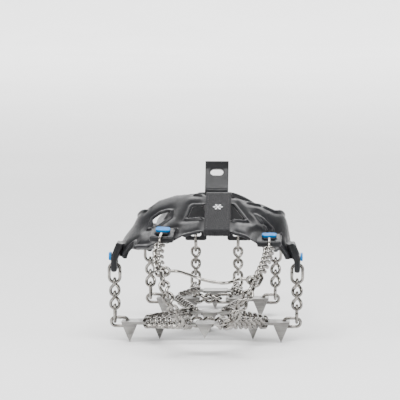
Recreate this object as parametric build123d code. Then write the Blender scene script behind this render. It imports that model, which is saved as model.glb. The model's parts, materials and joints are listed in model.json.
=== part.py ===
"""Microspikes: an elastomer harness, steel chains, a toe bail and spiked plates for under a hiking shoe.

Units are millimetres. +Z is up, the toe points to -Y, the heel to +Y, and +X is the right shoe's inner side.
The origin is on the ground, under the middle of the bounding box, and the spike tips stand at Z = 0.
"""
import os
from math import cos, radians, sin

from build123d import *

# ---------------------------------------------------------------- driving dimensions
PLATE_TOP = 13.0          # height of the sole's underside above the spike tips
PLATE_T = 1.8             # sheet steel of the plates
PLATE_MID = PLATE_TOP - PLATE_T / 2
SPIKE_W = 11.0            # width of a spike where it bends down from its plate
EAR_R = 3.9               # ear radius round a chain hole
HOLE_R = 1.8              # chain hole in a fixed plate
SLOT_W = 3.4              # chain slot in a rocking plate, two links wide
SLOT_L = 6.6

WIRE = 2.0                # wire of the chain links
LINK_IN_L = 8.6           # inside length of a link
LINK_IN_W = 3.4           # inside width of a link
LINK_C = LINK_IN_L + WIRE            # wire centre to wire centre along a link
LINK_R = (LINK_IN_W + WIRE) / 2      # centreline radius of a link's ends
RING_R = 3.4              # centreline radius of the long ring that hangs on a harness tab
RING_DROP = 8.5           # tab bar centre to the wire centre at the ring's lower end
NEST_MIN, NEST_MAX = 2.22, 3.95      # how far one link's end lies inside the next
EDGE_NEST = 2.4           # the same, in the level links at the sole's edge
FRONT_LINKS = {"left": 12, "right": 14}      # links below the ring in a front chain
UPRIGHT_LINKS = 3         # links below the ring in a side, heel or rear chain

BAND_T = 2.6              # elastomer wall
TAB_T = 3.8               # thickness of a tab
TAB_W = 15.0              # width of a tab along its bar
FRONT_TAB_L, SIDE_TAB_L, HEEL_TAB_L = 13.5, 9.0, 8.0     # tab lengths above the bar centre
ROOT_LOW = 5.6            # a hanging tab's root starts this far above the bar centre
INSERT_UP = 8.1           # a coloured insert's centre above the bar centre
INSERT_T = 1.5
BAR_Z = 45.5              # height of the side, heel and rear tab bars
BAR_UP, BAR_DOWN = 1.3, 1.6          # the bar above and below its centre
WINDOW_TOP = 4.95         # top of the tab's slot above the bar centre
WINDOW_W = 7.4            # slot width along the bar

TOE_PLATE = (3.0, -118.0)
FORE_L = (-38.0, -50.0)
FORE_R = (39.0, -50.0)
MID_PLATE = (1.0, 0.0)
HEEL_L = (-23.0, 76.0)
HEEL_R = (23.0, 76.0)
REAR_PLATE = (0.0, 121.0)
TOE_LIFT = 7.5            # the sole curves up this far at the toe plate
TOE_SPIKE = 9.0           # length of the toe plate's spikes below its top face
TOE_SLOT, MID_SLOT, REAR_SLOT = 10.0, 10.0, 13.0    # slot centres from the plate centre
SLOT_PITCH = 1.6          # each of a slot's two links sits this far from the slot centre

BAR_FRONT_L = Vector(-25.5, -87.0, 67.9)
BAR_FRONT_R = Vector(41.0, -81.2, 64.6)
SIDE_X_L, SIDE_X_R = -57.0, 58.0
HEEL_X = 42.0
REAR_X, REAR_Y = 14.6, 146.5

STRAP_X = 8.8             # webbing keeper over the instep
STRAP_W, STRAP_T = 16.0, 1.4
STRAP_GAP = 0.25          # between the strap and the rails
# the form that the strap is pulled round: both rails over the instep, in (y, z)
STRAP_SECTION = [(-89.3, 73.2), (-89.1, 71.9), (-81.8, 71.8), (-46.6, 91.3), (-46.8, 92.3), (-54.6, 92.4)]

BAND_FRONT_Y = -24.0      # where the stretch bands leave the front harness
BAND_BACK_Y = 58.0        # where they join the heel cup
BAND_GAP = 0.1
BAND_TOP = 76.0           # height of the bands' upper edge at their front end
BAIL_Z = 50.5             # the bail hooks onto the chain links nearest to this height
BAIL_EYE_R = 2.8          # centreline radius of the bail's eyes
TAB_PIVOT = (138.8, 78.95)           # the pull tab's bead, in (y, z), resting on the heel cup
TAB_BEAD = 1.85           # radius of the bead

X_AXIS, Y_AXIS, Z_AXIS = Vector(1, 0, 0), Vector(0, 1, 0), Vector(0, 0, 1)

OUT = "parts"
os.makedirs(OUT, exist_ok=True)


def save(name, *solids):
    """Writes one node; several solids make a group of separate pieces."""
    flat = [s for item in solids for s in (item.solids() if hasattr(item, "solids") else [item])]
    shape = flat[0] if len(flat) == 1 else Compound(children=flat)
    shape.label = name
    export_step(shape, f"{OUT}/{name}.step")


# ---------------------------------------------------------------- chain
def stadium_ring(straight, radius):
    """A centred link in the XY plane, its long axis on X; straight is the length between its end arcs."""
    half = straight / 2
    path = Wire([
        Line((-half, -radius), (half, -radius)),
        ThreePointArc((half, -radius), (half + radius, 0), (half, radius)),
        Line((half, radius), (-half, radius)),
        ThreePointArc((-half, radius), (-half - radius, 0), (-half, -radius)),
    ])
    return sweep(Plane(origin=path @ 0, z_dir=path % 0) * Circle(WIRE / 2), path=path).solid()


LINK = stadium_ring(LINK_C - 2 * LINK_R, LINK_R)
RING = stadium_ring(RING_DROP - RING_R, RING_R)


def place(shape, centre, along, normal):
    """Puts a link with its long axis on along and its flat side facing normal."""
    across = normal - along * normal.dot(along)
    return Plane(origin=centre, x_dir=along, z_dir=across.normalized()).location * shape


def link_between(start, along, normal):
    """A link from its first wire centre, start, in the direction along."""
    return place(LINK, start + along * (LINK_C / 2), along, normal)


def straight_chain(start, end):
    """A level chain between two plate holes. Its first and last links stand on edge, so the count is odd."""
    span = end - start
    length = span.length
    along = span.normalized()
    on_edge = Vector(-along.Y, along.X, 0)
    for count in range(3, 30, 2):
        nest = LINK_C - (length - LINK_C) / (count - 1)
        if nest >= NEST_MIN:
            break
    assert nest <= NEST_MAX, (length, count, nest)
    pitch = LINK_C - nest
    return [
        link_between(start + along * (pitch * i), along, on_edge if i % 2 == 0 else Vector(0, 0, 1))
        for i in range(count)
    ]


def walk(path, start_index, pivot, reach):
    """The first point of a sampled path, after start_index, that lies reach away from pivot."""
    for i in range(start_index, len(path)):
        if (path[i] - pivot).length >= reach:
            return i
    return None


def sampled(points, step=0.05, smooth=False):
    """A polyline or a spline through points, as closely spaced points."""
    curve = Spline(*points) if smooth else Polyline(*points)
    count = int(curve.length / step)
    return [curve @ (i / count) for i in range(count + 1)]


def hung_links(path, bar, count, nest):
    """Link ends from the plate hole, path[0], up to the tab: (first wire centre, direction) for each link."""
    placed = []
    index = walk(path, 0, path[0], LINK_C)
    along = (path[index] - path[0]).normalized()
    placed.append((path[0], along))
    tip = path[0] + along * LINK_C
    for number in range(1, count):
        if number % 2:                       # its first wire lies on the axis of the link before
            pivot = tip - along * nest
            index = walk(path, index, pivot, LINK_C)
            if index is None:
                return None, None
            along = (path[index] - pivot).normalized()
            placed.append((pivot, along))
            tip = path[index]
        else:                                # its axis passes through the last wire
            index = walk(path, index, tip, LINK_C - nest)
            if index is None:
                return None, None
            along = (path[index] - tip).normalized()
            placed.append((tip - along * nest, along))
            tip = placed[-1][0] + along * LINK_C
    return placed, (bar - tip).length + nest - RING_DROP


def hung_chain(path, bar, bar_axis, count):
    """The links and the tab ring of a chain of count links that ends in a ring on a tab bar.

    The link below the ring always lies across it, so the links are numbered down from the ring.
    """
    low, high = NEST_MIN, NEST_MAX
    for _ in range(40):
        nest = (low + high) / 2
        placed, miss = hung_links(path, bar, count, nest)
        if placed is None or miss < 0:
            low = nest
        else:
            high = nest
    placed, miss = hung_links(path, bar, count, nest)
    links = []
    for number, (start, along) in enumerate(placed):
        edge_on = (count - number) % 2 == 0
        links.append(link_between(start, along, bar_axis if edge_on else bar_axis.cross(along)))
    tip = placed[-1][0] + placed[-1][1] * LINK_C
    along = (tip - bar).normalized()
    ring = place(RING, bar + along * ((RING_DROP - RING_R) / 2), along, bar_axis)
    return links, ring, placed


# ---------------------------------------------------------------- plates
def spike(width, out_y, length=PLATE_TOP):
    """A triangular point bent straight down from the plate edge at Y = out_y, centred on X = 0."""
    outline = Polyline((-width / 2, 0), (0, -length), (width / 2, 0), close=True)
    blade = extrude(make_face(Plane.XZ * outline), PLATE_T, dir=(0, -1, 0))
    shift = out_y + (PLATE_T if out_y < 0 else 0)
    return Pos(0, shift, PLATE_TOP) * blade


def plate_sheet(face):
    return Pos(0, 0, PLATE_TOP - PLATE_T) * extrude(face, PLATE_T)


def fixed_plate(centre, side):
    """A four-hole plate. side is -1 where the outer edge of the shoe is at -X, +1 where it is at +X."""
    half_x, half_y, corner = 14.3, 8.6, 3.2
    face = RectangleRounded(2 * half_x, 2 * half_y, corner)
    solid = plate_sheet(face)
    solid += Pos(9.0 * side, 0, 0) * spike(SPIKE_W, -half_y)
    solid += Pos(-9.0 * side, 0, 0) * spike(SPIKE_W, half_y)
    for x, y in ((-10.5, 0), (10.5, 0), (0, -5), (0, 5)):
        solid -= Pos(x, y, PLATE_TOP) * Cylinder(HOLE_R, 4 * PLATE_T)
    return Pos(centre[0], centre[1], 0) * solid


def rocking_plate(centre, slot_x, lift=0.0, point=PLATE_TOP):
    """A plate with a two-link slot in each ear; it rocks about the line through both slots."""
    half_y = 8.6
    body_x = slot_x - 4.6
    ear_x = slot_x + SLOT_L / 2 + 2.3
    face = RectangleRounded(2 * body_x, 2 * half_y, 1.5) + RectangleRounded(2 * ear_x, 2 * EAR_R, 3.0)
    solid = plate_sheet(face)
    width = min(SPIKE_W, 2 * body_x - 0.4)
    solid += spike(width, -half_y, point)
    solid += spike(width, half_y, point)
    for sign in (-1, 1):
        slot = SlotOverall(SLOT_L, SLOT_W)
        solid -= Pos(sign * slot_x, 0, PLATE_TOP - 2 * PLATE_T) * extrude(slot, 4 * PLATE_T)
    return Pos(centre[0], centre[1], lift) * solid


# ---------------------------------------------------------------- harness wall
# Plan sections of the shoe that the harness is moulded to:
# height, toe end y, ball line y, then x at the ball, waist and heel, left and right of each, and heel end y
SHOE = [
    (38, -141, -45, -52, 54, -37.5, 36.5, -36.5, 37.5, 142.6),
    (45, -140, -45, -52, 54, -37, 36, -37, 37, 143),
    (55, -124, -45, -50.5, 51.5, -36, 36, -35, 35, 142),
    (63, -106, -45, -47, 49.5, -35.5, 35.5, -33, 33, 140),
    (70, -89, -45, -40.5, 47.5, -34, 34, -31, 31, 138),
    (76, -76, -44, -37, 45, -33, 33.5, -30, 30, 137),
    (82, -66, -40, -33.5, 42, -31.5, 32.5, -29, 29, 137),
    (88, -56, -32, -30, 38.5, -30, 31, -28, 28, 137),
    (94, -44, -22, -27, 35, -29, 30, -27, 27, 137),
    (100, -32, -12, -25, 32, -28, 29, -26, 26, 137),
]
RIDGE_X = 8.0             # the shoe's highest line runs towards its inner side
SHOE_LIFT = 1.6           # the wall's outer form stands this much higher than the shoe


def shoe_body(grow, lift):
    """The shoe's outer form, with every section grown outwards and lifted."""
    wires = []
    for z, toe, ball, left, right, waist_l, waist_r, heel_l, heel_r, back in SHOE:
        ridge = RIDGE_X if z > 50 else 4.0
        points = [
            (ridge, toe - grow),
            (left * 0.72 + ridge * 0.28, toe * 0.5 + ball * 0.5 - grow * 0.75),
            (left - grow, ball),
            (waist_l - grow, 15),
            (heel_l - grow, 95),
            (heel_l * 0.72, back - 12 + grow * 0.8),
            (0, back + grow),
            (heel_r * 0.72, back - 12 + grow * 0.8),
            (heel_r + grow, 95),
            (waist_r + grow, 15),
            (right + grow, ball),
            (right * 0.72 + ridge * 0.28, toe * 0.5 + ball * 0.5 - grow * 0.75),
        ]
        wires.append(Pos(0, 0, z + lift) * Wire(Spline(*points, periodic=True)))
    return loft([make_face(w) for w in wires])


def prism_x(points, x0, x1):
    """A side-view outline, in (y, z), extruded from x0 to x1."""
    face = make_face(Plane.YZ * Polyline(*points, close=True))
    return Pos(x0, 0, 0) * extrude(face, x1 - x0, dir=(1, 0, 0))


def prism_front(points, y_min, y_max, slope=5.0):
    """A front-view outline carried along a line that falls by slope degrees towards the heel.

    The points are (x, height), where height is measured square to that line from the ground at Y = -50.
    """
    lean = radians(slope)
    plane = Plane(origin=(0, -50, 0), x_dir=(1, 0, 0), z_dir=(0, -cos(lean), sin(lean)))
    face = make_face(plane * Polyline(*points, close=True))
    solid = extrude(face, 160, both=True)
    return solid & (Pos(0, (y_min + y_max) / 2, 60) * Box(400, y_max - y_min, 300))


def tab_at(bar, up, out, length):
    """A tab that rises from its bar: up points from the bar to the harness, out faces away from the shoe."""
    axis = up.cross(out)
    frame = Plane(origin=bar, x_dir=axis, z_dir=out)
    outline = Pos(0, (length - BAR_DOWN) / 2) * RectangleRounded(TAB_W, length + BAR_DOWN, 1.4)
    window = Pos(0, (BAR_UP + WINDOW_TOP) / 2) * RectangleRounded(WINDOW_W, WINDOW_TOP - BAR_UP, 0.8)
    side = Pos((length - BAR_DOWN) / 2, 0) * RectangleRounded(length + BAR_DOWN, TAB_T, 1.5)
    sheet = Pos(0, 0, -TAB_T / 2) * extrude(outline, TAB_T)
    blank = sheet & (Plane.YZ.location * extrude(side, TAB_W, both=True))
    return frame.location * blank, frame.location * (Pos(0, 0, -TAB_T) * extrude(window, 2 * TAB_T))


def insert_at(bar, up, out):
    """The coloured insert on a tab, above its slot, and the room round it that is cut from the wall."""
    axis = up.cross(out)
    frame = Plane(origin=bar, x_dir=axis, z_dir=out)
    pad = Pos(0, INSERT_UP, TAB_T / 2 + 0.05) * extrude(RectangleRounded(9.0, 4.8, 1.8), INSERT_T)
    seat = Pos(0, INSERT_UP, TAB_T / 2) * extrude(RectangleRounded(9.4, 5.2, 2.0), 8)
    return frame.location * pad, frame.location * seat


# ---------------------------------------------------------------- nodes
# tabs holds, by name, each harness tab's bar centre, the way up the tab and the way out from the shoe
def build_front_chains(tabs):
    """The two chains from the toe plate round the toe, through the bail's eyes, to the front tabs."""
    front_path_l = [
        (-8.6, -118, PLATE_MID + TOE_LIFT), (-9.4, -130, 20.6), (-11.8, -140.6, 24), (-15.2, -145.4, 31),
        (-18.8, -143.6, 40), (-22, -136.4, 48.6), (-25.0, -121.5, 55.4), (-26.4, -104, 61.6),
        tuple(BAR_FRONT_L),
    ]
    front_path_r = [
        (14.6, -118, PLATE_MID + TOE_LIFT), (15.8, -130, 20.6), (18.8, -141, 24), (23.8, -145.6, 31),
        (29.8, -142.3, 40), (35, -132.5, 49), (38.4, -117, 54.5), (40.6, -99, 59.5),
        tuple(BAR_FRONT_R),
    ]

    for side, path_points, bar in (("left", front_path_l, BAR_FRONT_L), ("right", front_path_r, BAR_FRONT_R)):
        path = sampled(path_points, smooth=True)
        links, ring, placed = hung_chain(path, bar, X_AXIS, FRONT_LINKS[side])
        save(f"front_chain_{side}", *links, ring)
        up = (bar - placed[-1][0] - placed[-1][1] * LINK_C).normalized()
        # the front tabs lie on the shoe's upper, so their outside faces up and forward
        tabs[f"front_{side}"] = (bar, up, X_AXIS.cross(up).normalized())
        # the bail hooks onto the edge-on link nearest to its own height
        hooks = [
            (abs(start.Z + along.Z * LINK_C / 2 - BAIL_Z), start + along * (LINK_C / 2), along)
            for number, (start, along) in enumerate(placed) if number % 2
        ]
        tabs[f"bail_{side}"] = min(hooks, key=lambda h: h[0])[1:]


def build_toe_bail(tabs):
    """The wire over the toe box: an arch with a welded eye at each end, hooked into the front chains."""
    centre_l, along_l = tabs["bail_left"]
    centre_r, along_r = tabs["bail_right"]
    eye_l_c = centre_l + X_AXIS * LINK_R
    eye_r_c = centre_r - X_AXIS * LINK_R
    ends = []
    for centre, along, sign in ((eye_l_c, along_l, 1), (eye_r_c, along_r, -1)):
        flat = Plane(origin=centre, x_dir=X_AXIS - along * along.X, z_dir=along)
        inward = flat.x_dir * sign
        ends.append((flat.location * Torus(BAIL_EYE_R, WIRE / 2), centre + inward * BAIL_EYE_R, inward))
    start, stop = ends[0][1], ends[1][1]
    low = (start + stop) * 0.5
    bail_path = Spline(
        start,
        Vector(start.X + 11, start.Y - 6.5, start.Z - 0.9),
        Vector(low.X, min(start.Y, stop.Y) - 10.5, low.Z - 1.8),
        Vector(stop.X - 11, stop.Y - 8.0, stop.Z - 0.9),
        stop,
        tangents=[ends[0][2], -ends[1][2]],
    )
    wire = sweep(Plane(origin=bail_path @ 0, z_dir=bail_path % 0) * Circle(WIRE / 2), path=bail_path)
    bail = wire + ends[0][0] + ends[1][0]
    save("toe_bail", bail)


def edge_links(start, out, count):
    """Level links from a plate hole to the shoe's edge, and the pivot where the upright run hooks on."""
    bar_axis = Z_AXIS.cross(out)
    pitch = LINK_C - EDGE_NEST
    links = [
        link_between(start + out * (pitch * i), out, bar_axis if i % 2 == 0 else Z_AXIS)
        for i in range(count)
    ]
    return links, start + out * (pitch * count)


def hole(centre, dx, dy=0.0):
    """The middle of a plate's hole or slot, dx and dy away from the plate's centre."""
    lift = TOE_LIFT if centre is TOE_PLATE else 0.0
    return Vector(centre[0] + dx, centre[1] + dy, PLATE_MID + lift)


def build_hung_chains(tabs):
    """The side, heel and rear chains: level links out to the shoe's edge, then an upright run to a tab."""
    side_chains = {
        "side_left": (hole(FORE_L, -10.5), -X_AXIS, Vector(SIDE_X_L, FORE_L[1], BAR_Z), 1),
        "side_right": (hole(FORE_R, 10.5), X_AXIS, Vector(SIDE_X_R, FORE_R[1], BAR_Z), 1),
        "heel_left": (hole(HEEL_L, -10.5), -X_AXIS, Vector(-HEEL_X, HEEL_L[1], BAR_Z), 1),
        "heel_right": (hole(HEEL_R, 10.5), X_AXIS, Vector(HEEL_X, HEEL_R[1], BAR_Z), 1),
        "rear_left": (hole(REAR_PLATE, -REAR_X), Y_AXIS, Vector(-REAR_X, REAR_Y, BAR_Z), 3),
        "rear_right": (hole(REAR_PLATE, REAR_X), Y_AXIS, Vector(REAR_X, REAR_Y, BAR_Z), 3),
    }
    for name, (start, out, bar, flat_links) in side_chains.items():
        flat, corner = edge_links(start, out, flat_links)
        links, ring, _ = hung_chain(sampled([corner, bar]), bar, Z_AXIS.cross(out), UPRIGHT_LINKS)
        save(f"{name}_chain", *links, ring)
        save(f"{name}_edge_links", *flat)
        tabs[name] = (bar, Z_AXIS, out)


def build_sole_chains():
    """The grid of level chains that joins the plates under the sole."""
    under = {
        "toe_chain_left": (hole(TOE_PLATE, -TOE_SLOT + SLOT_PITCH), hole(FORE_L, 0, -5)),
        "toe_chain_right": (hole(TOE_PLATE, TOE_SLOT - SLOT_PITCH), hole(FORE_R, 0, -5)),
        "ball_chain": (hole(FORE_L, 10.5), hole(FORE_R, -10.5)),
        "arch_chain_left": (hole(FORE_L, 0, 5), hole(MID_PLATE, -MID_SLOT - SLOT_PITCH)),
        "arch_chain_right": (hole(FORE_R, 0, 5), hole(MID_PLATE, MID_SLOT + SLOT_PITCH)),
        "shank_chain_left": (hole(MID_PLATE, -MID_SLOT + SLOT_PITCH), hole(HEEL_L, 0, -5)),
        "shank_chain_right": (hole(MID_PLATE, MID_SLOT - SLOT_PITCH), hole(HEEL_R, 0, -5)),
        "heel_chain": (hole(HEEL_L, 10.5), hole(HEEL_R, -10.5)),
        "rear_grid_chain_left": (hole(HEEL_L, 0, 5), hole(REAR_PLATE, -REAR_SLOT + SLOT_PITCH)),
        "rear_grid_chain_right": (hole(HEEL_R, 0, 5), hole(REAR_PLATE, REAR_SLOT - SLOT_PITCH)),
    }
    for name, (start, stop) in under.items():
        save(name, *straight_chain(start, stop))


def build_plates():
    """Three plates that rock on their chains and four that are held fast."""
    save("toe_plate", rocking_plate(TOE_PLATE, TOE_SLOT, TOE_LIFT, TOE_SPIKE))
    save("middle_plate", rocking_plate(MID_PLATE, MID_SLOT))
    save("rear_plate", rocking_plate(REAR_PLATE, REAR_SLOT))
    save("ball_plate_left", fixed_plate(FORE_L, -1))
    save("ball_plate_right", fixed_plate(FORE_R, 1))
    save("heel_plate_left", fixed_plate(HEEL_L, -1))
    save("heel_plate_right", fixed_plate(HEEL_R, 1))


def add_tab(body, windows, frame, length, lean=None):
    """The body with one more tab; the tab's slot joins windows, to be cut when every tab is on."""
    blank, window = tab_at(*frame, length)
    windows.append(window)
    body = body + blank
    return body + lean if lean else body


def leaning_root(frame, top_z, root_in):
    """The wedge that carries a hanging tab back to the wall above it."""
    bar, up, out = frame
    plane = Plane(origin=bar, x_dir=out, z_dir=-up.cross(out))
    half = TAB_T / 2
    high = top_z - BAR_Z
    outline = Polyline(
        (half, ROOT_LOW), (-half, ROOT_LOW), (-half - root_in, high), (half - root_in, high), close=True,
    )
    return plane.location * (extrude(make_face(outline), TAB_W / 2 - 0.3, both=True))


def largest(shape):
    """The biggest solid of a cut, without the loose slivers beside it."""
    return shape.solids().sort_by(SortBy.VOLUME)[-1]


def build_front_harness(wall, tabs, inserts):
    """Two rails over the instep, joined at each side, with two front tabs and two side tabs."""
    front_outline = [
        (-52, 75.6), (-41.4, 78.5), (-37.2, 81.7), (-28.8, 87.6), (-18.8, 90.6), (-7.1, 91.8), (8.8, 91.3),
        (17.3, 89.6), (26.4, 87.1), (34.8, 85.4), (42.4, 82.1), (48.1, 76.7), (62, 70), (62, 50),
        (52.4, 55), (45, 59.5), (42, 63), (36, 62.5), (33.1, 62), (26.4, 66.3), (18.1, 68.8), (8.8, 69.6),
        (-3.8, 68.8), (-12.1, 66.6), (-18.8, 62.9), (-22, 61.5), (-27, 62.5), (-32.9, 59.9), (-41.5, 59.4),
        (-46, 57.5), (-60, 45),
    ]
    middle_window = [(-7.9, 85.4), (-11.3, 76.3), (1.3, 77.5), (27.3, 75.4), (18.1, 86.3)]
    left_window = [
        (-39, 69.7), (-33.3, 76.9), (-27.5, 80.8), (-22.7, 82), (-20.5, 81.7), (-21.1, 77.5), (-28.8, 71.9),
        (-33.9, 70.2),
    ]
    right_window = [
        (31.9, 79.4), (35.6, 77.5), (50.6, 63.1), (52.4, 58.4), (44.8, 65), (39, 69.3), (37.6, 72.8),
    ]
    front_cut = prism_front(front_outline, -130, -30)
    for window in (middle_window, left_window, right_window):
        front_cut -= prism_front(window, -140, -20)

    # side view of the arms: the rails come down to a junction, and the side tab hangs from it
    arm_outline = [
        (-50, 82), (-38, 81), (BAND_FRONT_Y, BAND_TOP), (BAND_FRONT_Y, 57), (-34, 57), (-42.5, 52.5),
        (-57.5, 52.5), (-59, 56), (-62, 61), (-64, 68), (-57, 74),
    ]
    x_sides = ((-80, -33), (33, 80))
    cut = front_cut & (Pos(1, 0, 60) * Box(88, 400, 300))
    for x in x_sides:
        cut += prism_x(arm_outline, *x)
    front = largest(wall & cut)

    windows = []
    for name in ("front_left", "front_right"):
        front = add_tab(front, windows, tabs[name], FRONT_TAB_L)
    for name, top, back in (("side_left", 62.0, 4.3), ("side_right", 62.0, 4.6)):
        front = add_tab(front, windows, tabs[name], SIDE_TAB_L, leaning_root(tabs[name], top, back))
    for window in windows:
        front = front - window
    for name in ("front_left", "front_right", "side_left", "side_right"):
        inserts[name], seat = insert_at(*tabs[name])
        front = front - seat
    save("front_harness", largest(front))


def build_bands(wall):
    """The two stretch bands with their sizing slots."""
    band_outline = [
        (BAND_FRONT_Y + BAND_GAP, BAND_TOP), (-8, 71.5), (20, 67), (BAND_BACK_Y, 63), (BAND_BACK_Y, 50.5),
        (20, 51.5), (-8, 54), (BAND_FRONT_Y + BAND_GAP, 57),
    ]
    for name, x0, x1 in (("left_band", -80, -20), ("right_band", 20, 80)):
        slots = []
        for y in (-2, 22, 44):
            centre_z = 62.6 - 0.11 * y
            slot = extrude(SlotOverall(15, 5), 100, both=True)
            slots.append(Pos(0, y, centre_z) * (Plane.YZ.location * slot))
        band = wall & prism_x(band_outline, x0, x1)
        for slot in slots:
            band -= slot
        save(name, largest(band))


def build_heel_harness(wall, tabs, inserts):
    """The cup round the heel, with two tabs at its sides, two at its back and an opening behind the heel."""
    heel_side = [
        (BAND_BACK_Y + BAND_GAP, 63), (98, 65.5), (122, 71), (136, 77), (150, 77), (150, 56), (110, 52),
        (BAND_BACK_Y + BAND_GAP, 50.5),
    ]
    rear_window = Pos(0, 150, 67) * (Rot(90, 0, 0) * extrude(SlotOverall(17, 9), 60, both=True))
    windows = []
    behind_bands = Pos(0, BAND_BACK_Y + BAND_GAP + 100, 60) * Box(200, 200, 200)
    heel = (wall & prism_x(heel_side, -80, 80) & behind_bands) - rear_window
    for name in ("heel_left", "heel_right"):
        heel = add_tab(heel, windows, tabs[name], HEEL_TAB_L, leaning_root(tabs[name], 58.0, 4.0))
    for name in ("rear_left", "rear_right"):
        heel = add_tab(heel, windows, tabs[name], SIDE_TAB_L, leaning_root(tabs[name], 60.0, 3.6))
    for window in windows:
        heel = heel - window
    for name in ("heel_left", "heel_right", "rear_left", "rear_right"):
        inserts[name], seat = insert_at(*tabs[name])
        heel = heel - seat
    save("heel_harness", largest(heel))


def build_pull_tab():
    """The loop behind the ankle: a curved tongue with a finger slot and a round bead at its foot."""
    profile = [
        (137.3, 79.2), (140.3, 78.7), (143.6, 84), (148.0, 92.8), (149.4, 98.4), (146.4, 99), (145.0, 93.9),
        (140.4, 85),
    ]
    bead = Pos(0, *TAB_PIVOT) * (Rot(0, 90, 0) * Cylinder(TAB_BEAD, 16))
    tab = prism_x(profile, -8, 8) + bead
    grip = Plane(origin=(0, 145.4, 91), x_dir=(1, 0, 0), z_dir=(0, cos(radians(25)), -sin(radians(25))))
    tab -= grip.location * extrude(SlotOverall(9, 5), 20, both=True)
    save("pull_tab", tab)


def build_keeper_strap():
    """A closed loop of webbing, pulled tight round both rails over the instep."""
    inside = offset(make_face(Plane.YZ * Polyline(*STRAP_SECTION, close=True)), STRAP_GAP)
    loop = extrude(offset(inside, STRAP_T) - inside, STRAP_W / 2, dir=(1, 0, 0), both=True)
    save("keeper_strap", Pos(STRAP_X, 0, 0) * loop)


def main():
    tabs, inserts = {}, {}
    build_front_chains(tabs)
    build_toe_bail(tabs)
    build_hung_chains(tabs)
    build_sole_chains()
    build_plates()
    wall = shoe_body(BAND_T, SHOE_LIFT) - shoe_body(0.0, 0.0)
    build_front_harness(wall, tabs, inserts)
    build_bands(wall)
    build_heel_harness(wall, tabs, inserts)
    for name, pad in inserts.items():
        save(f"{name}_insert", pad)
    build_pull_tab()
    build_keeper_strap()


main()
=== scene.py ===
"""The looks of the microspikes: harness, webbing, inserts, chain links, plates, light and camera."""
import json
import math

import bmesh
import bpy
import numpy as np
from mathutils import Matrix, Vector
from mathutils.kdtree import KDTree


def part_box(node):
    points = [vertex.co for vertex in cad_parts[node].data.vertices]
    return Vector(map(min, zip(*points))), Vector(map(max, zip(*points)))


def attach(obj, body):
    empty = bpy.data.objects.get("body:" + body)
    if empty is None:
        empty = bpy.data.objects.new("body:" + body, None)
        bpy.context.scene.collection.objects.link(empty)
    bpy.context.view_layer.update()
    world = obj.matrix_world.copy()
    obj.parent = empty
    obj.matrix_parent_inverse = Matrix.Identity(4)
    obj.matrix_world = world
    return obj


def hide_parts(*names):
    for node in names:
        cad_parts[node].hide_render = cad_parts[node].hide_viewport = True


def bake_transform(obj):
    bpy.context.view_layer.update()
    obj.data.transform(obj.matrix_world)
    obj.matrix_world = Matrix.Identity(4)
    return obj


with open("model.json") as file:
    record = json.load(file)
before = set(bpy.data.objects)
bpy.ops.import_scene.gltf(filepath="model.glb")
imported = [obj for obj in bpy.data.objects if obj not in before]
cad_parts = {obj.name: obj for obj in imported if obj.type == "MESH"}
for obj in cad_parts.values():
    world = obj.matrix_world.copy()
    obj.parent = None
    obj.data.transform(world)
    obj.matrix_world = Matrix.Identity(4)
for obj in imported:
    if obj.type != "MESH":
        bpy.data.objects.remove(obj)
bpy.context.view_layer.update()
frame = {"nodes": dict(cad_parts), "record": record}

MM = 0.001
X_AXIS = Vector((1, 0, 0))
NODES = frame["nodes"]
BODY_OF = {
    node: body
    for body, nodes in frame["record"]["behaviour"]["bodies"].items()
    for node in nodes
}
TAB_NAMES = [f"{place}_{side}" for place in ("front", "side", "heel", "rear") for side in ("left", "right")]
UPRIGHT_CHAINS = [f"{name}_chain" for name in TAB_NAMES[2:]]

# ---------------------------------------------------------------- camera
VIEW_AZIMUTH = math.radians(2.5)
VIEW_ELEVATION = math.radians(5.0)
VIEW_DISTANCE = 2.0
VIEW_WIDTH = 0.252                       # what the picture spans at the target
VIEW_BASE = Vector((0, -50, 0)) * MM     # under the ball of the foot
VIEW_SHIFT = (-3.15 * MM, 88.8 * MM)     # from the base to the target, to the right and up in the picture


def add_camera():
    """A long lens a little above the toe."""
    cos_a, sin_a = math.cos(VIEW_AZIMUTH), math.sin(VIEW_AZIMUTH)
    cos_e, sin_e = math.cos(VIEW_ELEVATION), math.sin(VIEW_ELEVATION)
    forward = Vector((-sin_a * cos_e, cos_a * cos_e, -sin_e))
    right = Vector((cos_a, sin_a, 0))
    target = VIEW_BASE + right * VIEW_SHIFT[0] + right.cross(forward) * VIEW_SHIFT[1]
    data = bpy.data.cameras.new("camera")
    data.lens = data.sensor_width * VIEW_DISTANCE / VIEW_WIDTH
    data.clip_start, data.clip_end = 0.05, 30
    camera = bpy.data.objects.new("camera", data)
    bpy.context.collection.objects.link(camera)
    camera.location = target - forward * VIEW_DISTANCE
    camera.rotation_euler = forward.to_track_quat("-Z", "Y").to_euler()
    bpy.context.scene.camera = camera


add_camera()


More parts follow.
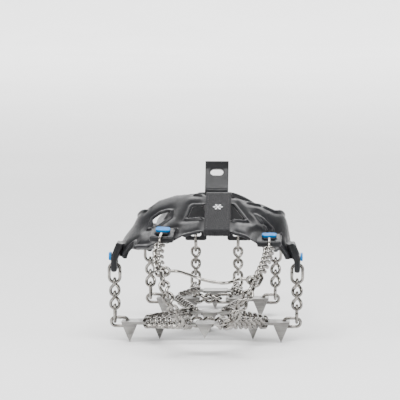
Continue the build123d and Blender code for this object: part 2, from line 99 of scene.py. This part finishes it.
# ---------------------------------------------------------------- materials
class Shader:
    """A principled material with a small vocabulary for its node tree."""

    def __init__(self, name, **sockets):
        self.material = bpy.data.materials.new(name)
        self.material.use_nodes = True
        self.tree = self.material.node_tree
        self.bsdf = self.tree.nodes["Principled BSDF"]
        for key, value in sockets.items():
            self.bsdf.inputs[key.replace("_", " ")].default_value = value
        self.object_space = self.add("ShaderNodeTexCoord").outputs["Object"]

    def add(self, kind, **settings):
        node = self.tree.nodes.new(kind)
        for key, value in settings.items():
            setattr(node, key, value)
        return node

    def link(self, out, target):
        self.tree.links.new(out, target)

    def feed(self, value, socket):
        """Links an output, or sets a colour or a number."""
        if isinstance(value, bpy.types.NodeSocket):
            self.link(value, socket)
        elif isinstance(value, tuple):
            socket.default_value = (*value, 1)
        else:
            socket.default_value = value

    def placed(self, scale=(1, 1, 1), rotation=(0, 0, 0)):
        """Object coordinates, scaled and turned."""
        mapping = self.add("ShaderNodeMapping")
        mapping.inputs["Scale"].default_value = scale
        mapping.inputs["Rotation"].default_value = rotation
        self.link(self.object_space, mapping.inputs["Vector"])
        return mapping.outputs["Vector"]

    def noise(self, scale, detail=4.0, rough=0.55, vector=None, distortion=0.0):
        node = self.add("ShaderNodeTexNoise")
        node.inputs["Scale"].default_value = scale
        node.inputs["Detail"].default_value = detail
        node.inputs["Roughness"].default_value = rough
        node.inputs["Distortion"].default_value = distortion
        self.link(vector or self.object_space, node.inputs["Vector"])
        return node.outputs["Fac"]

    def ramp(self, fac, *stops):
        """A colour ramp; each stop is (position, colour)."""
        node = self.add("ShaderNodeValToRGB")
        ramp = node.color_ramp
        while len(ramp.elements) < len(stops):
            ramp.elements.new(0.5)
        for element, (position, colour) in zip(ramp.elements, stops):
            element.position = position
            element.color = (*colour, 1)
        self.link(fac, node.inputs["Fac"])
        return node.outputs["Color"]

    def span(self, fac, low, high, from_low=0.3, from_high=0.7):
        """Low to high as fac goes from from_low to from_high."""
        node = self.add("ShaderNodeMapRange")
        limits = {"From Min": from_low, "From Max": from_high, "To Min": low, "To Max": high}
        for key, value in limits.items():
            node.inputs[key].default_value = value
        self.link(fac, node.inputs["Value"])
        return node.outputs["Result"]

    def mix(self, fac, a, b):
        node = self.add("ShaderNodeMix", data_type="RGBA")
        for value, socket in ((fac, node.inputs[0]), (a, node.inputs[6]), (b, node.inputs[7])):
            self.feed(value, socket)
        return node.outputs[2]

    def math(self, operation, a, b=0.0):
        node = self.add("ShaderNodeMath", operation=operation)
        for value, socket in ((a, node.inputs[0]), (b, node.inputs[1])):
            self.feed(value, socket)
        return node.outputs[0]

    def edges(self, low=0.5, high=0.56):
        """1 along sharp outer edges, 0 elsewhere; with low above high, 1 in the hollows instead."""
        return self.span(self.add("ShaderNodeNewGeometry").outputs["Pointiness"], 0, 1, low, high)

    def colour(self, out):
        self.link(out, self.bsdf.inputs["Base Color"])

    def roughness(self, out):
        self.link(out, self.bsdf.inputs["Roughness"])

    def bump(self, *layers):
        """Each layer is (height output, depth in metres)."""
        previous = None
        for height, depth in layers:
            node = self.add("ShaderNodeBump")
            node.inputs["Strength"].default_value = 1.0
            node.inputs["Distance"].default_value = depth
            self.link(height, node.inputs["Height"])
            if previous:
                self.link(previous, node.inputs["Normal"])
            previous = node.outputs["Normal"]
        self.link(previous, self.bsdf.inputs["Normal"])


WARP_PITCH, WEFT_PITCH = 1.1 * MM, 1.3 * MM      # of the webbing's weave


def elastomer_material():
    s = Shader("moulded_elastomer", Specular_IOR_Level=0.26, Sheen_Weight=0.02, Sheen_Roughness=0.4)
    broad = s.noise(38, 3)
    fine = s.noise(420, 5)
    base = s.ramp(broad, (0.3, (0.0045, 0.0047, 0.0055)), (0.7, (0.009, 0.0094, 0.011)))
    dust = s.span(s.noise(150, 6, 0.65), 0, 0.4, 0.52, 0.75)
    base = s.mix(dust, base, (0.020, 0.020, 0.022))
    worn = s.math("MULTIPLY", s.edges(0.51, 0.58), s.span(fine, 0.1, 0.6))
    s.colour(s.mix(worn, base, (0.030, 0.030, 0.034)))
    s.roughness(s.span(fine, 0.30, 0.46))
    s.bump((s.noise(2600, 3), 0.00003), (broad, 0.00025))
    return s.material


def webbing_material(slope):
    s = Shader("woven_webbing", Specular_IOR_Level=0.2, Sheen_Weight=0.08, Sheen_Roughness=0.5)
    flat = s.placed(rotation=(-slope, 0, 0))
    split = s.add("ShaderNodeSeparateXYZ")
    s.link(flat, split.inputs[0])
    warp = s.math("SINE", s.math("MULTIPLY", split.outputs["X"], 2 * math.pi / WARP_PITCH))
    weft = s.math("SINE", s.math("MULTIPLY", split.outputs["Y"], 2 * math.pi / WEFT_PITCH))
    weave = s.math("MULTIPLY", warp, weft)
    weave_height_and_shade = s.span(weave, 0, 1, -1, 1)
    # Painted shade and light: the weave's low points are coloured darker and its raised threads lighter,
    # following the weave's height.
    base = s.mix(weave_height_and_shade, (0.003, 0.003, 0.0035), (0.015, 0.015, 0.017))
    s.colour(s.mix(s.span(s.noise(260, 5), 0, 0.4), base, (0.024, 0.024, 0.026)))
    s.roughness(s.span(s.noise(900, 3), 0.62, 0.85))
    s.bump((weave_height_and_shade, 0.00028), (s.noise(5200, 2), 0.00006))
    return s.material


def insert_material():
    s = Shader("blue_insert", Specular_IOR_Level=0.22)
    base = s.ramp(s.noise(300, 4), (0.3, (0.001, 0.125, 0.400)), (0.75, (0.004, 0.185, 0.520)))
    s.colour(s.mix(s.math("MULTIPLY", s.edges(0.5, 0.57), 0.3), base, (0.03, 0.34, 0.66)))
    s.roughness(s.span(s.noise(800, 4), 0.36, 0.52))
    s.bump((s.noise(3000, 3), 0.00003))
    return s.material


def steel_material(name, light, dark, rough, scratch_depth):
    s = Shader(name, Metallic=1.0)
    broad = s.noise(220, 4)
    base = s.mix(s.span(broad, 0, 1, 0.35, 0.65), dark, light)
    # Painted shade: the hollows of the links and the wire are darkened towards a third of the dark tone,
    # broken up by noise.
    hollow_shade = s.math("MULTIPLY", s.span(s.noise(900, 5, 0.7), 0, 1, 0.52, 0.72), s.edges(0.5, 0.44))
    s.colour(s.mix(hollow_shade, base, tuple(0.35 * c for c in dark)))
    s.roughness(s.span(s.noise(1400, 4), rough[0], rough[1]))
    scratches = s.noise(700, 4, 0.6, s.placed(scale=(1, 1, 7), rotation=(0.5, 0.3, 0.2)), 1.5)
    s.bump((scratches, scratch_depth), (s.noise(4200, 2), 0.000012))
    return s.material


def plate_material():
    s = Shader("stamped_steel", Metallic=1.0)
    brushed = s.noise(900, 3, 0.5, s.placed(scale=(0.08, 1, 1)))
    base = s.mix(s.span(brushed, 0, 1), (0.10, 0.098, 0.094), (0.22, 0.215, 0.205))
    worn = s.edges(0.51, 0.6)
    base = s.mix(worn, base, (0.45, 0.44, 0.42))
    stains = s.span(s.noise(120, 6, 0.7), 0, 0.5, 0.55, 0.8)
    s.colour(s.mix(stains, base, (0.06, 0.05, 0.042)))
    s.roughness(s.span(s.noise(500, 5), 0.24, 0.44))
    s.bump((brushed, 0.00004), (s.noise(260, 3), 0.00010))
    return s.material


def thread_material(name, dark, light):
    s = Shader(name, Specular_IOR_Level=0.3, Sheen_Weight=0.1)
    thread = s.noise(3800, 2)
    s.colour(s.mix(s.span(thread, 0, 1), dark, light))
    s.roughness(s.span(thread, 0.5, 0.75))
    s.bump((thread, 0.00006))
    return s.material


STRAP_SLOPE = math.atan2(18.0, 32.0)     # the strap's outer face rises 18 mm in 32 mm
ELASTOMER = elastomer_material()
WEBBING = webbing_material(STRAP_SLOPE)
INSERT = insert_material()
CHAIN = steel_material("tumbled_steel", (0.36, 0.345, 0.32), (0.15, 0.14, 0.13), (0.12, 0.24), 0.00003)
BAIL = steel_material("polished_wire", (0.42, 0.405, 0.38), (0.24, 0.23, 0.21), (0.10, 0.18), 0.00002)
PLATE = plate_material()
EMBLEM = thread_material("white_thread", (0.62, 0.63, 0.66), (0.90, 0.91, 0.93))
THREAD = thread_material("dark_thread", (0.012, 0.012, 0.013), (0.035, 0.035, 0.038))


# ---------------------------------------------------------------- mesh helpers
def ramped(value, low, high):
    """0 below low, 1 above high, smooth between."""
    t = min(max((value - low) / (high - low), 0.0), 1.0)
    return t * t * (3 - 2 * t)


def new_object(name, source, material):
    """A linked object from a mesh, or from a bmesh, which it frees."""
    mesh = source
    if isinstance(source, bmesh.types.BMesh):
        mesh = bpy.data.meshes.new(name)
        source.to_mesh(mesh)
        source.free()
    obj = bpy.data.objects.new(name, mesh)
    bpy.context.collection.objects.link(obj)
    mesh.materials.clear()
    mesh.materials.append(material)
    return obj


def welded(node):
    """A bmesh of a CAD node in the frame's coordinates, with its split vertices joined."""
    source = NODES[node]
    bm = bmesh.new()
    bm.from_mesh(source.data)
    bm.transform(source.matrix_world)
    bmesh.ops.remove_doubles(bm, verts=bm.verts, dist=2e-6)
    return bm


def select_only(obj):
    bpy.ops.object.select_all(action="DESELECT")
    obj.select_set(True)
    bpy.context.view_layer.objects.active = obj


def apply_all(obj):
    """Applies every modifier."""
    select_only(obj)
    for modifier in list(obj.modifiers):
        bpy.ops.object.modifier_apply(modifier=modifier.name)


def joined(objects):
    bpy.ops.object.select_all(action="DESELECT")
    for obj in objects:
        obj.select_set(True)
    bpy.context.view_layer.objects.active = objects[0]
    bpy.ops.object.join()
    return objects[0]


def shade_smooth(obj, angle=None):
    """Smooth shading, all over or up to an angle between faces."""
    select_only(obj)
    if angle is None:
        bpy.ops.object.shade_smooth()
    else:
        bpy.ops.object.shade_smooth_by_angle(angle=angle)


def skinned(obj, voxel, rounds, material):
    """The object as one voxel-remeshed skin, softened by rounds of smoothing."""
    remesh = obj.modifiers.new("skin", "REMESH")
    remesh.mode = "VOXEL"
    remesh.voxel_size = voxel
    smooth = obj.modifiers.new("soften", "SMOOTH")
    smooth.factor = 0.5
    smooth.iterations = rounds
    apply_all(obj)
    obj.data.materials.clear()
    obj.data.materials.append(material)
    shade_smooth(obj)
    return obj


def finish_piece(obj, body, slot, *replaced):
    """Rides the piece on its body and hides the CAD nodes that it stands for; slot, its finish, is not used.
    """
    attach(obj, body)
    if replaced:
        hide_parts(*replaced)
    return obj


# ---------------------------------------------------------------- chain links
WIRE_R = 1.0 * MM
LINK_R, LINK_HALF = 2.7 * MM, 5.3 * MM       # radius of a link's ends, and half its length, along its wire
RING_R, RING_HALF = 3.4 * MM, 5.95 * MM      # the same for the ring on a tab
EYE_R = 2.8 * MM                             # of the bail's eyes
PATH_STEPS, SECTION_STEPS = 64, 14           # points along a link's wire and round it
WELD_BULGE = 0.14                            # how much thicker the wire is at its weld
WELD_LENGTH = 0.9 * MM
EVEN_TWIST = 0.15                            # share of a link's turn that is even; its legs hold the rest


def loose_parts(bm):
    """The points of each separate part of a bmesh."""
    seen, parts = set(), []
    for start in bm.verts:
        if start.index in seen:
            continue
        stack, part = [start], []
        seen.add(start.index)
        while stack:
            vertex = stack.pop()
            part.append(vertex.co[:])
            for edge in vertex.link_edges:
                other = edge.other_vert(vertex)
                if other.index not in seen:
                    seen.add(other.index)
                    stack.append(other)
        parts.append(np.array(part))
    return parts


def link_frames(node):
    """Centre, long axis, flat normal and length of each loose link of a node."""
    bm = welded(node)
    parts = loose_parts(bm)
    bm.free()
    frames = []
    for points in parts:
        middle = points.mean(axis=0)
        _, _, axes = np.linalg.svd(points - middle, full_matrices=False)
        spread = (points - middle) @ axes.T
        centre = middle + ((spread.max(axis=0) + spread.min(axis=0)) / 2) @ axes
        length = spread[:, 0].max() - spread[:, 0].min()
        frames.append((Vector(centre), Vector(axes[0]), Vector(axes[2]), length))
    return frames


def in_order(frames, first):
    """The links from the first one along the chain, each with its long axis pointing onwards."""
    left = list(frames)
    chain = [left.pop(first)]
    while left:
        here = chain[-1][0]
        nearest = min(range(len(left)), key=lambda i: (left[i][0] - here).length)
        chain.append(left.pop(nearest))
    ordered = []
    for i, (centre, along, normal, length) in enumerate(chain):
        other = chain[i + 1][0] if i + 1 < len(chain) else centre * 2 - chain[i - 1][0]
        if len(chain) > 1 and (other - centre).dot(along) < 0:
            along = -along
        ordered.append((centre, along, normal, length))
    return ordered


def link_mesh(bm, centre, along, edge_on, radius, half, turn):
    """Adds one closed wire link. edge_on is the plane normal at turn 0; turn is (start, end) in degrees."""
    straight = half - radius
    arc = math.pi * radius
    total = 2 * arc + 4 * straight
    across_0 = edge_on.cross(along).normalized()
    points, normals, radii = [], [], []
    for i in range(PATH_STEPS):
        d = total * i / PATH_STEPS
        welded_leg = d < 2 * straight
        if welded_leg:
            x, z = radius, -straight + d
        elif d < 2 * straight + arc:
            a = (d - 2 * straight) / radius
            x, z = radius * math.cos(a), straight + radius * math.sin(a)
        elif d < 4 * straight + arc:
            x, z = -radius, straight - (d - 2 * straight - arc)
        else:
            a = (d - 4 * straight - arc) / radius
            x, z = -radius * math.cos(a), -straight - radius * math.sin(a)
        twist = EVEN_TWIST * (z / half + 1) / 2 + (1 - EVEN_TWIST) * ramped(z, -straight, straight)
        angle = math.radians(turn[0] + (turn[1] - turn[0]) * twist)
        across = across_0 * math.cos(angle) + edge_on * math.sin(angle)
        points.append(centre + along * z + across * x)
        normals.append(across.cross(along))
        bulge = WELD_BULGE * math.exp(-((z / WELD_LENGTH) ** 2)) if welded_leg else 0.0
        radii.append(WIRE_R * (1 + bulge))
    swept_ring(bm, points, normals, radii)


def swept_ring(bm, points, normals, radii):
    """Adds round wire along a closed path, with a normal and a wire radius for each of its points."""
    count = len(points)
    rings = []
    for i in range(count):
        tangent = (points[(i + 1) % count] - points[i - 1]).normalized()
        side = (normals[i] - tangent * normals[i].dot(tangent)).normalized()
        up = tangent.cross(side)
        ring = []
        for j in range(SECTION_STEPS):
            a = 2 * math.pi * j / SECTION_STEPS
            ring.append(bm.verts.new(points[i] + (side * math.cos(a) + up * math.sin(a)) * radii[i]))
        rings.append(ring)
    for i in range(count):
        here, there = rings[i], rings[(i + 1) % count]
        for j in range(SECTION_STEPS):
            k = (j + 1) % SECTION_STEPS
            bm.faces.new((here[j], there[j], there[k], here[k]))


def chain_in_order(node, kind):
    """The node's links in order, and 0 or 1, the place of the first one that keeps its own flat normal."""
    frames = link_frames(node)
    if kind == "level":
        centres = np.array([f[0][:] for f in frames])
        reach = ((centres - centres.mean(axis=0)) ** 2).sum(axis=1)
        return in_order(frames, int(reach.argmax())), 0
    lengths = [f[3] for f in frames]
    from_ring = in_order(frames, lengths.index(max(lengths)))
    chain = [(c, -a, n, l) for c, a, n, l in reversed(from_ring)]
    return chain, (len(chain) - 1) % 2


def link_turn(i, kind, last, hook_at):
    """How far link i twists from its first end to its last, as (start, end) in degrees."""
    if hook_at is not None and i in (hook_at - 1, hook_at):
        return (0, 0) if i < hook_at else (90, 90)
    if kind == "upright" and i == 0:
        return (90, 90)
    return (0, 0) if kind == "level" and last else (0, 90)


def chain_object(node, body, kind, hook=None):
    """Real curb-chain links in place of a node's plain ones. kind is hung, upright or level."""
    chain, offset = chain_in_order(node, kind)
    hook_at = None
    if hook is not None:
        hook_at = min(range(len(chain)), key=lambda i: (chain[i][0] - hook).length)
    bm = bmesh.new()
    previous = None
    for i, (centre, along, normal, _) in enumerate(chain):
        edge_on = normal if (i + offset) % 2 == 0 else along.cross(normal)
        if previous is not None and edge_on.dot(previous) < 0:
            edge_on = -edge_on
        previous = edge_on
        last = i == len(chain) - 1
        if kind != "level" and last:
            link_mesh(bm, centre, along, edge_on, RING_R, RING_HALF, (0, 0))
        else:
            link_mesh(bm, centre, along, edge_on, LINK_R, LINK_HALF, link_turn(i, kind, last, hook_at))
    obj = new_object(f"{node}_wire", bm, CHAIN)
    shade_smooth(obj)
    return finish_piece(obj, body, "chain_steel", node)


def eye_link(side):
    """The centre and long axis of the link that the bail's eye on that side goes round."""
    sign = -1 if side == "left" else 1
    bm = welded("toe_bail")
    end = max((vertex.co.copy() for vertex in bm.verts), key=lambda co: co.x * sign)
    bm.free()
    nearest = min(link_frames(f"front_chain_{side}"), key=lambda f: (f[0] - end).length)
    return nearest[0], nearest[1]


def bail_eye(side):
    """A closed eye of the bail round its chain link's inner leg."""
    link, along = eye_link(side)
    across = (X_AXIS - along * along.x).normalized()
    up = along.cross(across)
    centre = link + X_AXIS * (LINK_R if side == "left" else -LINK_R)
    angles = [2 * math.pi * i / PATH_STEPS for i in range(PATH_STEPS)]
    points = [centre + (across * math.cos(a) + up * math.sin(a)) * EYE_R for a in angles]
    bm = bmesh.new()
    swept_ring(bm, points, [along] * PATH_STEPS, [WIRE_R] * PATH_STEPS)
    obj = new_object(f"bail_eye_{side}", bm, BAIL)
    shade_smooth(obj)
    return finish_piece(obj, BODY_OF["toe_bail"], "chain_steel")


for node, body in BODY_OF.items():
    if node.startswith("front_chain"):
        chain_object(node, body, "hung", eye_link(node.split("_")[-1])[0])
    elif node in UPRIGHT_CHAINS:
        chain_object(node, body, "upright")
    elif "chain" in node or node.endswith("_edge_links"):
        chain_object(node, body, "level")


# ---------------------------------------------------------------- plates and bail
PLATE_EASE = 0.35 * MM


def stamped(node, body):
    """A plate with its cut edges eased."""
    bm = welded(node)
    bmesh.ops.dissolve_limit(bm, angle_limit=math.radians(2), verts=bm.verts, edges=bm.edges)
    obj = new_object(f"{node}_stamped", bm, PLATE)
    bevel = obj.modifiers.new("ease", "BEVEL")
    bevel.width = PLATE_EASE
    bevel.segments = 3
    bevel.limit_method = "ANGLE"
    bevel.angle_limit = math.radians(40)
    apply_all(obj)
    shade_smooth(obj, math.radians(35))
    return finish_piece(obj, body, "plate_steel", node)


for node, body in BODY_OF.items():
    if "plate" in node:
        stamped(node, body)

NODES["toe_bail"].data.materials.clear()
NODES["toe_bail"].data.materials.append(BAIL)
bail_eye("right")        # the CAD wire ends in an eye on its left only


# ---------------------------------------------------------------- harness
HARNESS_NODES = ("front_harness", "left_band", "right_band", "heel_harness")
HARNESS_VOXEL = 0.6 * MM
BEAD_R = 1.15 * MM
RIM_STEP = 1.0 * MM
CROWN = 0.9 * MM
CROWN_REACH = 3.2 * MM
BAND_FRONT = Vector((0, -24, 60)) * MM
BAND_BACK = Vector((0, 58, 60)) * MM
JOIN_REACH = 0.4 * MM            # edges this near to a join between harness parts get no bead
RIM_ANGLE = math.radians(32)     # a rim is sharper than this
TAB_REACH = 13.5 * MM            # edges this near to a tab's bar are the tab's own
CROWN_FADE = (12.5 * MM, 18 * MM)        # the crown grows between these distances from a tab's bar
STRAP_FADE = 3 * MM              # and this far to each side of the strap
SHOE_LINE_X, SHOE_LINE_Y, SHOE_LINE_Z = 4 * MM, (-40 * MM, 105 * MM), 45 * MM
RING_TO_BAR = 2.55 * MM          # from a ring's middle up to the middle of the bar it hangs on
INSTEP_LOW, INSTEP_BACK = 68 * MM, -40 * MM      # the strap is above and in front of these

STRAP_LOW, STRAP_HIGH = (Vector(corner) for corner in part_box("keeper_strap"))
STRAP_MIDDLE = (STRAP_LOW + STRAP_HIGH) / 2
STRAP_HALF = (STRAP_HIGH.x - STRAP_LOW.x) / 2 + 1.5 * MM


def outward(point):
    """Away from a level line through the shoe."""
    y = min(max(point.y, SHOE_LINE_Y[0]), SHOE_LINE_Y[1])
    return (point - Vector((SHOE_LINE_X, y, SHOE_LINE_Z))).normalized()


def bar_points():
    """The middle of each tab's bar, taken from where its ring hangs."""
    bars = []
    for name in TAB_NAMES:
        place, side = name.split("_")
        node = f"front_chain_{side}" if place == "front" else f"{name}_chain"
        centre, along, _, _ = max(link_frames(node), key=lambda f: f[3])
        if along.z < 0:
            along = -along
        bars.append(centre + along * RING_TO_BAR)
    return bars


BARS = bar_points()


def rim_edges(bm):
    """A harness part's outer edges, but not those in the tabs, under the strap or at the part's joins."""
    edges = []
    for edge in bm.edges:
        if len(edge.link_faces) != 2 or edge.calc_face_angle(0) < RIM_ANGLE:
            continue
        middle = (edge.verts[0].co + edge.verts[1].co) / 2
        if min((middle - bar).length for bar in BARS) < TAB_REACH or under_strap(middle, 0):
            continue
        if min(abs(middle.y - BAND_FRONT.y), abs(middle.y - BAND_BACK.y)) < JOIN_REACH:
            continue
        if max(face.normal.dot(outward(middle)) for face in edge.link_faces) < 0.6:
            continue
        edges.append(edge)
    return edges


def under_strap(point, margin):
    """True on the rails within margin of the strap."""
    beside = abs(point.x - STRAP_MIDDLE.x) < STRAP_HALF + margin
    return beside and point.z > INSTEP_LOW and point.y < INSTEP_BACK


def bead(edges, name):
    """A round bead along a part's outer edges."""
    index, verts = {}, []
    for edge in edges:
        for vertex in edge.verts:
            if vertex.index not in index:
                index[vertex.index] = len(verts)
                verts.append(vertex.co.copy())
    mesh = bpy.data.meshes.new(name)
    mesh.from_pydata(verts, [tuple(index[v.index] for v in e.verts) for e in edges], [])
    obj = new_object(name, mesh, ELASTOMER)
    select_only(obj)
    bpy.ops.object.convert(target="CURVE")
    obj = bpy.context.object
    obj.data.bevel_depth = BEAD_R
    obj.data.bevel_resolution = 3
    obj.data.use_fill_caps = True
    bpy.ops.object.convert(target="MESH")
    return bpy.context.object


def rim_points(edges):
    """Points every RIM_STEP along the edges."""
    points = []
    for edge in edges:
        a, b = (vertex.co for vertex in edge.verts)
        steps = max(1, math.ceil((b - a).length / RIM_STEP))
        points += [a.lerp(b, i / steps) for i in range(steps + 1)]
    return points


def crown(mesh, rims):
    """Swells the outside between the rims, so that each rail is full in its middle."""
    tree = KDTree(len(rims))
    for i, point in enumerate(rims):
        tree.insert(point, i)
    tree.balance()
    moves = []
    for vertex in mesh.vertices:
        facing = vertex.normal.dot(outward(vertex.co))
        if facing < 0.2:
            continue
        clear = ramped(min((vertex.co - bar).length for bar in BARS), *CROWN_FADE)
        if under_strap(vertex.co, STRAP_FADE):
            strap_gap = max(abs(vertex.co.x - STRAP_MIDDLE.x) - STRAP_HALF, 0)
            clear *= ramped(strap_gap, 0, STRAP_FADE)
        distance = tree.find(vertex.co)[2]
        height = CROWN * (1 - math.exp(-((distance / CROWN_REACH) ** 2)))
        moves.append((vertex.index, vertex.normal * (height * clear * ramped(facing, 0.2, 0.6))))
    for i, move in moves:
        mesh.vertices[i].co += move


def build_harness():
    """One moulded skin over all four harness nodes."""
    parts, rims = [], []
    for node in HARNESS_NODES:
        bm = welded(node)
        bm.verts.index_update()
        edges = rim_edges(bm)
        rims += rim_points(edges)
        parts.append(bead(edges, f"{node}_bead"))
        parts.append(new_object(f"{node}_body", bm, ELASTOMER))
    obj = skinned(joined(parts), HARNESS_VOXEL, 8, ELASTOMER)
    obj.name = "harness"
    crown(obj.data, rims)
    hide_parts(*HARNESS_NODES)
    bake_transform(obj)


build_harness()


# ---------------------------------------------------------------- small moulded pieces
def rounded_copy(node, name, voxel, rounds, material):
    """A CAD node with its corners rounded off."""
    return skinned(new_object(name, welded(node), material), voxel, rounds, material)


for name in TAB_NAMES:
    node = f"{name}_insert"
    pad = rounded_copy(node, f"{node}_pad", 0.2 * MM, 4, INSERT)
    finish_piece(pad, BODY_OF[node], "insert", node)

tab = rounded_copy("pull_tab", "pull_tab_grip", 0.4 * MM, 5, ELASTOMER)
finish_piece(tab, "pull_tab", "elastomer", "pull_tab")

strap = rounded_copy("keeper_strap", "keeper_webbing", 0.35 * MM, 5, WEBBING)
finish_piece(strap, "base", "webbing", "keeper_strap")


# ---------------------------------------------------------------- the strap's emblem and stitches
EMBLEM_ARM = 3.1 * MM                            # from the crystal's middle to its tips
EMBLEM_SUNK, EMBLEM_PROUD = 0.25 * MM, 0.12 * MM
BRANCH_LEAN = 0.9                                # radians between an arm and its two branches
ARM_STROKES = (                                  # start, length and half width as shares of an arm, lean
    (0.0, 1.0, 0.085, 0.0),
    (0.55, 0.30, 0.06, BRANCH_LEAN),
    (0.55, 0.30, 0.06, -BRANCH_LEAN),
)
EMBLEM_UP = 1.5 * MM                             # from the strap's middle, up the strap
STITCH_L, STITCH_W = 1.7 * MM, 0.5 * MM
STITCH_PITCH, STITCH_INSET, STITCH_REACH = 2.4 * MM, 1.7 * MM, 9
STRAP_NORMAL = Vector((0, -math.sin(STRAP_SLOPE), math.cos(STRAP_SLOPE)))
STRAP_UP = Vector((0, math.cos(STRAP_SLOPE), math.sin(STRAP_SLOPE)))


def strap_face_point(x, along):
    """The point of the strap's outer face at x, along metres up it from its middle, or None past its ends."""
    origin = STRAP_MIDDLE + STRAP_UP * along + STRAP_NORMAL * (20 * MM)
    origin.x = x
    hit, location, normal, _ = strap.ray_cast(origin, -STRAP_NORMAL)
    if not hit or normal.dot(STRAP_NORMAL) < 0.9:
        return None
    return location


def emblem(centre):
    """A plain six-armed snow crystal, each arm with two branches."""
    bm = bmesh.new()
    for arm in range(6):
        turn = math.pi / 3 * arm
        axis = X_AXIS * math.cos(turn) + STRAP_UP * math.sin(turn)
        side = STRAP_NORMAL.cross(axis)
        for start, length, half_width, lean in ARM_STROKES:
            along = axis * math.cos(lean) + side * math.sin(lean)
            across = STRAP_NORMAL.cross(along) * (half_width * EMBLEM_ARM)
            root = centre + axis * (start * EMBLEM_ARM)
            corners = [
                bm.verts.new(point + across * sign + STRAP_NORMAL * height)
                for point in (root, root + along * (length * EMBLEM_ARM))
                for sign in (-1, 1)
                for height in (-EMBLEM_SUNK, EMBLEM_PROUD)
            ]
            bmesh.ops.convex_hull(bm, input=corners)
    finish_piece(new_object("snow_emblem", bm, EMBLEM), "base", "webbing")


def sew_edges():
    """A row of thread stitches inside each edge of the strap."""
    bm = bmesh.new()
    turn = Matrix.Rotation(STRAP_SLOPE, 4, "X")
    shape = Matrix.Diagonal((STITCH_W / 2, STITCH_L / 2, STITCH_W / 3, 1))
    for x in (STRAP_LOW.x + STITCH_INSET, STRAP_HIGH.x - STITCH_INSET):
        for i in range(-STITCH_REACH, STITCH_REACH + 1):
            point = strap_face_point(x, i * STITCH_PITCH)
            if point:
                place = Matrix.Translation(point + STRAP_NORMAL * 0.03 * MM) @ turn @ shape
                bmesh.ops.create_uvsphere(bm, u_segments=10, v_segments=6, radius=1, matrix=place)
    obj = new_object("strap_stitches", bm, THREAD)
    shade_smooth(obj)
    finish_piece(obj, "base", "webbing")


emblem(strap_face_point(STRAP_MIDDLE.x, EMBLEM_UP))
sew_edges()


# ---------------------------------------------------------------- floor, light
def add_stage():
    """A pale floor that curves up into a backdrop, with room for a camera to go all round the object."""
    bm = bmesh.new()
    depth, rise, radius, width, steps = 6.5, 4.5, 1.5, 13.0, 14
    profile = [(-6.5, 0.0), (depth - radius, 0.0)]
    for i in range(1, steps + 1):
        a = math.pi / 2 * i / steps
        profile.append((depth - radius + radius * math.sin(a), radius - radius * math.cos(a)))
    profile.append((depth, rise))
    rows = [[bm.verts.new((x, y, z)) for y, z in profile] for x in (-width / 2, width / 2)]
    for i in range(len(profile) - 1):
        bm.faces.new((rows[0][i], rows[1][i], rows[1][i + 1], rows[0][i + 1]))
    s = Shader("pale_floor", Specular_IOR_Level=0.2)
    s.colour(s.ramp(s.noise(3, 2), (0.3, (0.90, 0.90, 0.90)), (0.7, (0.93, 0.93, 0.93))))
    s.bsdf.inputs["Roughness"].default_value = 0.8
    floor = new_object("floor", bm, s.material)
    shade_smooth(floor)


def area_light(name, location, target, size, power, colour=(1, 1, 1)):
    data = bpy.data.lights.new(name, "AREA")
    data.shape = "RECTANGLE"
    data.size, data.size_y = size
    data.energy = power
    data.color = colour
    light = bpy.data.objects.new(name, data)
    bpy.context.collection.objects.link(light)
    light.location = location
    light.rotation_euler = (Vector(target) - Vector(location)).to_track_quat("-Z", "Y").to_euler()


def add_world():
    """A dim horizon under a bright ceiling, so that polished wire shows both."""
    world = bpy.data.worlds.new("studio")
    bpy.context.scene.world = world
    world.use_nodes = True
    tree = world.node_tree
    background = tree.nodes["Background"]
    background.inputs["Strength"].default_value = 0.42
    direction = tree.nodes.new("ShaderNodeTexCoord").outputs["Generated"]
    split = tree.nodes.new("ShaderNodeSeparateXYZ")
    ramp = tree.nodes.new("ShaderNodeValToRGB")
    tree.links.new(direction, split.inputs[0])
    tree.links.new(split.outputs["Z"], ramp.inputs["Fac"])
    tree.links.new(ramp.outputs["Color"], background.inputs["Color"])
    low, high = ramp.color_ramp.elements
    low.position, low.color = 0.05, (0.10, 0.10, 0.11, 1)
    high.position, high.color = 0.75, (1.0, 1.0, 1.0, 1)


def add_light():
    area_light("top_softbox", (0.0, -0.85, 1.6), (0, 0, 0), (1.8, 0.9), 62)
    area_light("left_strip", (-1.2, -0.9, 0.55), (0, 0, 0.05), (0.35, 1.1), 13, (1.0, 0.985, 0.96))
    area_light("right_strip", (1.25, -0.7, 0.7), (0, 0, 0.05), (0.35, 1.1), 9, (0.97, 0.98, 1.0))
    area_light("backdrop_wash", (0.0, 4.0, 3.4), (0, 4.6, 0.0), (6.0, 3.0), 520)


add_stage()
add_world()
add_light()
